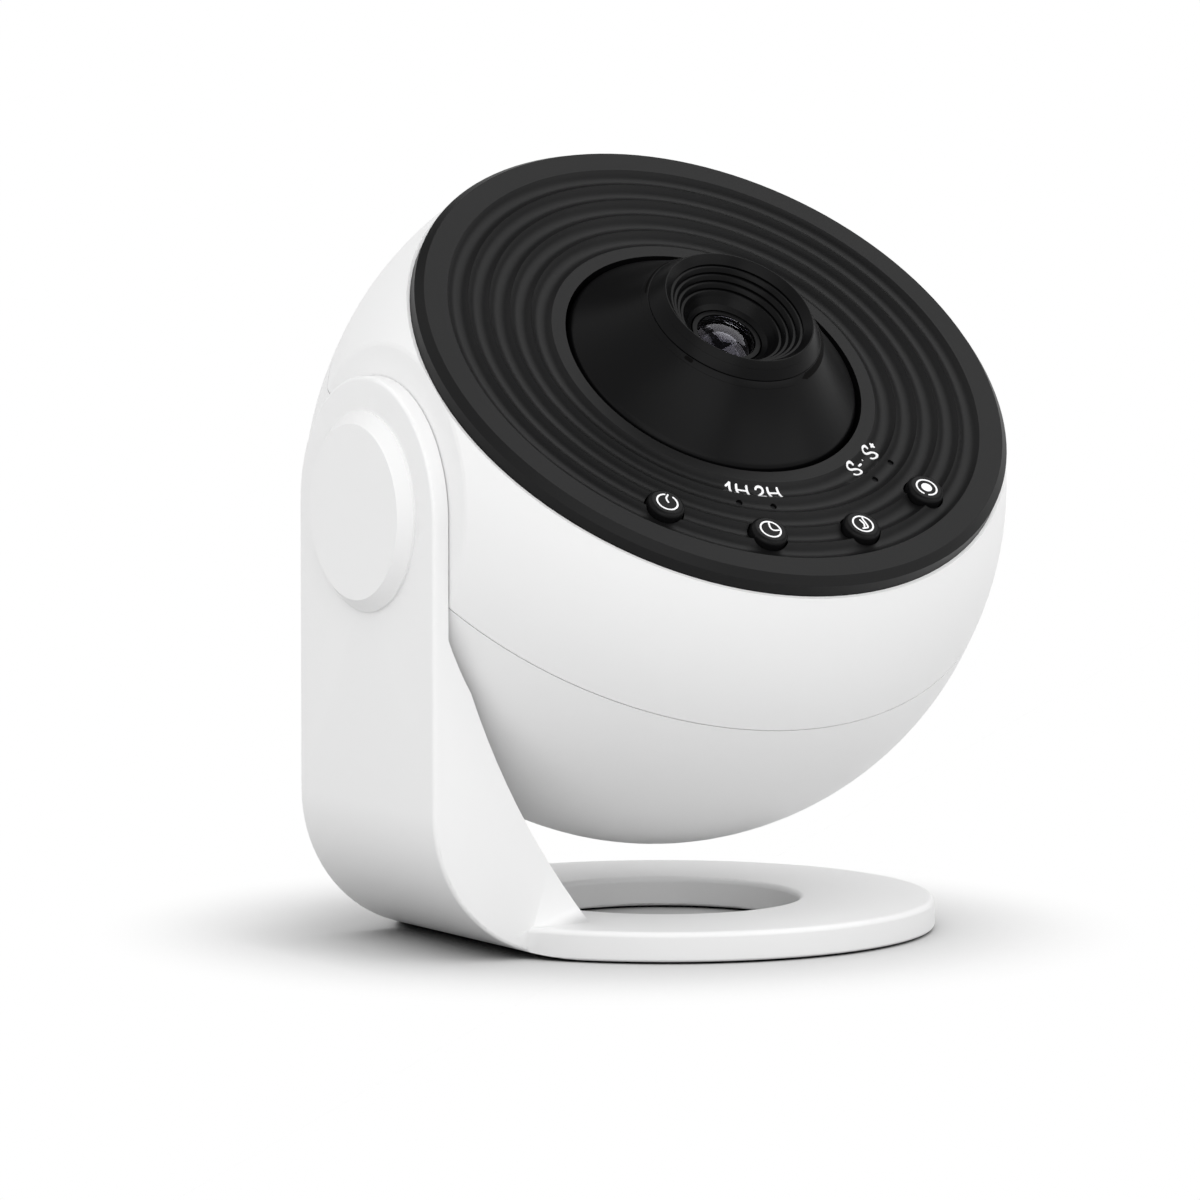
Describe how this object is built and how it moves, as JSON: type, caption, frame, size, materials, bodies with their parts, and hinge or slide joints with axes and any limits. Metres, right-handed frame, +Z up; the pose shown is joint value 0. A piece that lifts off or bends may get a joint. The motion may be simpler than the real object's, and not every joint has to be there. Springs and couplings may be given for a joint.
{
  "type": "star projector",
  "caption": "Ball-shaped star projector that tilts on a side arm above a ring base, with a ribbed black face, push buttons and a focusing lens.",
  "frame": {"origin": "on the floor, straight below the centre of the ball's tilt pivot", "axes": "+Z up, the pivot axis along X with the arm on -X, the lens aimed towards -Y and upwards"},
  "size_m": [0.1199, 0.1213, 0.1335],
  "materials": {
    "white_shell": "satin moulded plastic",
    "black_face": "satin moulded plastic",
    "black_part": "fine matte plastic",
    "button_black": "satin moulded plastic",
    "foot_rubber": "matt rubber",
    "inner_plastic": "glass-filled plastic",
    "slide_plastic": "low-friction plastic",
    "steel": "plain steel",
    "brass_gear": "machined brass",
    "aluminium": "extruded aluminium",
    "lens_glass": "coated optical glass",
    "film": "printed film in a plastic rim",
    "board": "fibreglass circuit board",
    "led_yellow": "phosphor under clear silicone",
    "light_pipe": "dark clear plastic"
  },
  "bodies": {
    "base": {"stand": "white_shell", "foot_ring": "foot_rubber", "arm_cap": "white_shell", "thrust_washer": "slide_plastic", "wave_washer": "steel"},
    "head": {"pivot_hub": "inner_plastic", "retainer_plate": "steel", "pivot_screws": "steel", "front_shell": "white_shell", "rear_shell": "white_shell", "face_plate": "black_face", "indicator_pipes": "light_pipe", "control_board": "board", "tact_switches": "black_part", "board_screws": "steel", "chassis": "inner_plastic", "chassis_screws": "steel", "motor": "steel", "motor_screws": "steel", "condenser_lens": "lens_glass", "condenser_clip": "steel", "led_board": "aluminium", "led_emitter": "led_yellow", "heat_sink": "aluminium", "sink_screws": "steel", "usb_socket": "steel", "power_board": "board", "power_screws": "steel"},
    "cover": {"lens_cover": "black_part"},
    "ring": {"focus_ring": "black_part", "focus_clip": "steel"},
    "barrel": {"lens_barrel": "black_part", "front_lens": "lens_glass", "rear_lens": "lens_glass", "lens_spacer": "black_part", "lens_retainer": "black_part"},
    "carrier": {"disc_carrier": "slide_plastic", "film_disc": "film"},
    "pinion": {"motor_pinion": "brass_gear"},
    "power_key": {"button_power": "button_black"},
    "timer_key": {"button_timer": "button_black"},
    "motion_key": {"button_motion": "button_black"},
    "light_key": {"button_light": "button_black"}
  },
  "joints": [
    {"name": "head_tilt", "type": "hinge", "parent": "base", "child": "head", "pos_m": [0, 0, 0.0754], "axis": [1, 0, 0], "continuous": true},
    {"name": "cover_pull", "type": "slide", "parent": "head", "child": "cover", "axis": [0, -0.6361, 0.7716], "range_m": [0, 0.025]},
    {"name": "lens_travel", "type": "slide", "parent": "cover", "child": "barrel", "axis": [0, -0.6361, 0.7716], "range_m": [-0.00105, 0.00105]},
    {"name": "focus_turn", "type": "hinge", "parent": "cover", "child": "ring", "pos_m": [0, -0.02544, 0.10626], "axis": [0, -0.6361, 0.7716], "range_deg": [-60, 60]},
    {"name": "carrier_spin", "type": "hinge", "parent": "head", "child": "carrier", "pos_m": [0, -0.01247, 0.09052], "axis": [0, -0.6361, 0.7716], "continuous": true},
    {"name": "pinion_spin", "type": "hinge", "parent": "head", "child": "pinion", "pos_m": [0, 0.00976, 0.10884], "axis": [0, -0.6361, 0.7716], "continuous": true},
    {"name": "power_press", "type": "slide", "parent": "head", "child": "power_key", "axis": [0, 0.6361, -0.7716], "range_m": [0, 0.0006], "stiffness_N_per_m": 800},
    {"name": "timer_press", "type": "slide", "parent": "head", "child": "timer_key", "axis": [0, 0.6361, -0.7716], "range_m": [0, 0.0006], "stiffness_N_per_m": 800},
    {"name": "motion_press", "type": "slide", "parent": "head", "child": "motion_key", "axis": [0, 0.6361, -0.7716], "range_m": [0, 0.0006], "stiffness_N_per_m": 800},
    {"name": "light_press", "type": "slide", "parent": "head", "child": "light_key", "axis": [0, 0.6361, -0.7716], "range_m": [0, 0.0006], "stiffness_N_per_m": 800}
  ],
  "couplings": [
    {"joint": "focus_turn", "follows": "lens_travel", "rad_per_m": 1000},
    {"joint": "pinion_spin", "follows": "carrier_spin", "ratio": -5}
  ]
}
